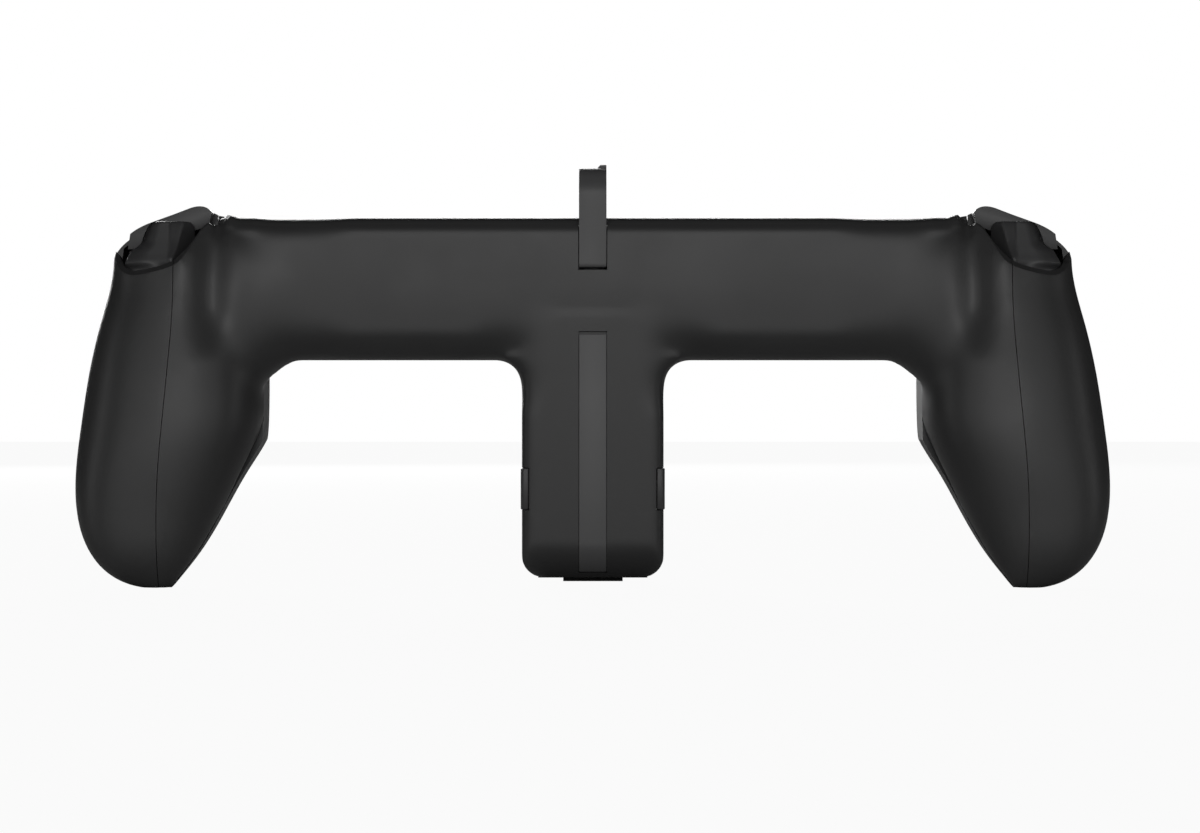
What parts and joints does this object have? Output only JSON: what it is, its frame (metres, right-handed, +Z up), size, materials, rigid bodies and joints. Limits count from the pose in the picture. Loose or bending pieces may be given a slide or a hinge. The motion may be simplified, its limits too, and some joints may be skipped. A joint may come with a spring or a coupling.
{
  "type": "handheld console grip controller",
  "caption": "Two-handled game controller grip with a bridge, a sprung top hook and a lower ledge that clamp a handheld console between the handles.",
  "frame": {"origin": "middle of the footprint, on the surface that the handle tips and the foot stand on", "axes": "+X along the bridge to the right-hand unit as the player sees it, +Y to the rear, +Z up from the handle tips to the hook"},
  "size_m": [0.2724, 0.0454, 0.1107],
  "materials": {
    "shell_plastic": "fine moulded texture, matte charcoal",
    "grip_plastic": "fine moulded texture, matte charcoal",
    "strip_plastic": "smooth matte, a little lighter than the shell",
    "button_plastic": "satin moulded",
    "inner_plastic": "unpainted moulding",
    "stick_rubber": "fine matte rubber",
    "pad_rubber": "soft matte rubber",
    "steel": "plain steel",
    "plug_steel": "drawn steel sleeve",
    "board": "coated circuit board",
    "ribbon": "flexible film"
  },
  "bodies": {
    "housing": {"bridge_pad_left": "pad_rubber", "bridge_pad_right": "pad_rubber", "button_membrane_left": "pad_rubber", "button_membrane_right": "pad_rubber", "clamp_spring": "steel", "control_board_left": "board", "control_board_right": "board", "cover_screws": "steel", "foot_pad": "pad_rubber", "front_cover": "shell_plastic", "front_shell_left": "shell_plastic", "front_shell_right": "shell_plastic", "grip_cover_left": "grip_plastic", "grip_cover_right": "grip_plastic", "ledge_pad": "pad_rubber", "main_board": "board", "rear_shell": "shell_plastic", "release_spring_left": "steel", "release_spring_right": "steel", "ribbon_cable": "ribbon", "rumble_motor_left": "steel", "rumble_motor_right": "steel", "stem_pad": "pad_rubber", "stem_strip": "strip_plastic", "stick_housing_left": "inner_plastic", "stick_housing_right": "inner_plastic", "trigger_axle_left": "steel", "trigger_axle_right": "steel", "trigger_spring_left": "steel", "trigger_spring_right": "steel", "usb_plug": "plug_steel"},
    "clamp": {"clamp_hook": "strip_plastic", "hook_pad": "pad_rubber"},
    "release_button_right": {"release_button_right": "button_plastic"},
    "trigger_right": {"trigger_right": "button_plastic"},
    "bumper_right": {"bumper_right": "button_plastic"},
    "stick_carrier_right": {"stick_carrier_right": "inner_plastic"},
    "stick_yoke_right": {"stick_yoke_right": "inner_plastic"},
    "thumbstick_right": {"thumbstick_right": "stick_rubber"},
    "rumble_weight_right": {"rumble_weight_right": "steel"},
    "release_button_left": {"release_button_left": "button_plastic"},
    "trigger_left": {"trigger_left": "button_plastic"},
    "bumper_left": {"bumper_left": "button_plastic"},
    "stick_carrier_left": {"stick_carrier_left": "inner_plastic"},
    "stick_yoke_left": {"stick_yoke_left": "inner_plastic"},
    "thumbstick_left": {"thumbstick_left": "stick_rubber"},
    "rumble_weight_left": {"rumble_weight_left": "steel"},
    "face_button_top": {"face_button_top": "button_plastic"},
    "face_button_right": {"face_button_right": "button_plastic"},
    "face_button_bottom": {"face_button_bottom": "button_plastic"},
    "face_button_left": {"face_button_left": "button_plastic"},
    "plus_button": {"plus_button": "button_plastic"},
    "minus_button": {"minus_button": "button_plastic"},
    "home_button": {"home_button": "button_plastic"},
    "capture_button": {"capture_button": "button_plastic"},
    "direction_pad_rocker": {"direction_pad_rocker": "inner_plastic"},
    "direction_pad": {"direction_pad": "button_plastic"}
  },
  "joints": [
    {"name": "clamp_slide", "type": "slide", "parent": "housing", "child": "clamp", "axis": [0, 0, 1], "range_m": [0, 0.012], "stiffness_N_per_m": 60, "springref_m": -0.01, "deforming": ["clamp_spring"]},
    {"name": "release_press_right", "type": "slide", "parent": "housing", "child": "release_button_right", "axis": [-1, 0, 0], "range_m": [0, 0.001], "stiffness_N_per_m": 400, "springref_m": -0.0005, "deforming": ["release_spring_right"]},
    {"name": "trigger_pull_right", "type": "hinge", "parent": "housing", "child": "trigger_right", "pos_m": [0.1122, 0.00685, 0.0876], "axis": [-1, 0, 0], "range_deg": [0, 12], "stiffness_Nm_per_rad": 0.12, "springref_deg": -8.59},
    {"name": "bumper_press_right", "type": "hinge", "parent": "housing", "child": "bumper_right", "pos_m": [0.1032, -0.00025, 0.0962], "axis": [0, 1, 0], "range_deg": [0, 2.2], "stiffness_Nm_per_rad": 0.4, "springref_deg": -1.72},
    {"name": "stick_click_right", "type": "slide", "parent": "housing", "child": "stick_carrier_right", "axis": [0, 1, 0], "range_m": [0, 0.0005], "stiffness_N_per_m": 3000, "springref_m": -0.0002},
    {"name": "stick_up_down_right", "type": "hinge", "parent": "stick_carrier_right", "child": "stick_yoke_right", "pos_m": [0.103, -0.00825, 0.0896], "axis": [1, 0, 0], "range_deg": [-18, 18], "stiffness_Nm_per_rad": 0.06},
    {"name": "stick_side_right", "type": "hinge", "parent": "stick_yoke_right", "child": "thumbstick_right", "pos_m": [0.103, -0.00825, 0.0896], "axis": [0, 0, 1], "range_deg": [-18, 18], "stiffness_Nm_per_rad": 0.06},
    {"name": "rumble_spin_right", "type": "hinge", "parent": "housing", "child": "rumble_weight_right", "pos_m": [0.116, 0.01175, 0.0172], "axis": [0, 0, 1], "continuous": true},
    {"name": "release_press_left", "type": "slide", "parent": "housing", "child": "release_button_left", "axis": [1, 0, 0], "range_m": [0, 0.001], "stiffness_N_per_m": 400, "springref_m": -0.0005, "deforming": ["release_spring_left"]},
    {"name": "trigger_pull_left", "type": "hinge", "parent": "housing", "child": "trigger_left", "pos_m": [-0.1122, 0.00685, 0.0876], "axis": [-1, 0, 0], "range_deg": [0, 12], "stiffness_Nm_per_rad": 0.12, "springref_deg": -8.59},
    {"name": "bumper_press_left", "type": "hinge", "parent": "housing", "child": "bumper_left", "pos_m": [-0.1032, -0.00025, 0.0962], "axis": [0, -1, 0], "range_deg": [0, 2.2], "stiffness_Nm_per_rad": 0.4, "springref_deg": -1.72},
    {"name": "stick_click_left", "type": "slide", "parent": "housing", "child": "stick_carrier_left", "axis": [0, 1, 0], "range_m": [0, 0.0005], "stiffness_N_per_m": 3000, "springref_m": -0.0002},
    {"name": "stick_up_down_left", "type": "hinge", "parent": "stick_carrier_left", "child": "stick_yoke_left", "pos_m": [-0.103, -0.00825, 0.0896], "axis": [1, 0, 0], "range_deg": [-18, 18], "stiffness_Nm_per_rad": 0.06},
    {"name": "stick_side_left", "type": "hinge", "parent": "stick_yoke_left", "child": "thumbstick_left", "pos_m": [-0.103, -0.00825, 0.0896], "axis": [0, 0, 1], "range_deg": [-18, 18], "stiffness_Nm_per_rad": 0.06},
    {"name": "rumble_spin_left", "type": "hinge", "parent": "housing", "child": "rumble_weight_left", "pos_m": [-0.116, 0.01175, 0.0172], "axis": [0, 0, 1], "continuous": true},
    {"name": "face_press_top", "type": "slide", "parent": "housing", "child": "face_button_top", "axis": [0, 1, 0], "range_m": [0, 0.0012], "stiffness_N_per_m": 500, "springref_m": -0.0004},
    {"name": "face_press_right", "type": "slide", "parent": "housing", "child": "face_button_right", "axis": [0, 1, 0], "range_m": [0, 0.0012], "stiffness_N_per_m": 500, "springref_m": -0.0004},
    {"name": "face_press_bottom", "type": "slide", "parent": "housing", "child": "face_button_bottom", "axis": [0, 1, 0], "range_m": [0, 0.0012], "stiffness_N_per_m": 500, "springref_m": -0.0004},
    {"name": "face_press_left", "type": "slide", "parent": "housing", "child": "face_button_left", "axis": [0, 1, 0], "range_m": [0, 0.0012], "stiffness_N_per_m": 500, "springref_m": -0.0004},
    {"name": "plus_press", "type": "slide", "parent": "housing", "child": "plus_button", "axis": [0, 1, 0], "range_m": [0, 0.0008], "stiffness_N_per_m": 500, "springref_m": -0.0004},
    {"name": "minus_press", "type": "slide", "parent": "housing", "child": "minus_button", "axis": [0, 1, 0], "range_m": [0, 0.0008], "stiffness_N_per_m": 500, "springref_m": -0.0004},
    {"name": "home_press", "type": "slide", "parent": "housing", "child": "home_button", "axis": [0, 1, 0], "range_m": [0, 0.0008], "stiffness_N_per_m": 500, "springref_m": -0.0004},
    {"name": "capture_press", "type": "slide", "parent": "housing", "child": "capture_button", "axis": [0, 1, 0], "range_m": [0, 0.0008], "stiffness_N_per_m": 500, "springref_m": -0.0004},
    {"name": "direction_pad_up_down", "type": "hinge", "parent": "housing", "child": "direction_pad_rocker", "pos_m": [-0.1085, -0.00885, 0.063], "axis": [1, 0, 0], "range_deg": [-2, 2], "stiffness_Nm_per_rad": 0.1},
    {"name": "direction_pad_side", "type": "hinge", "parent": "direction_pad_rocker", "child": "direction_pad", "pos_m": [-0.1085, -0.00885, 0.063], "axis": [0, 0, 1], "range_deg": [-2, 2], "stiffness_Nm_per_rad": 0.1}
  ]
}
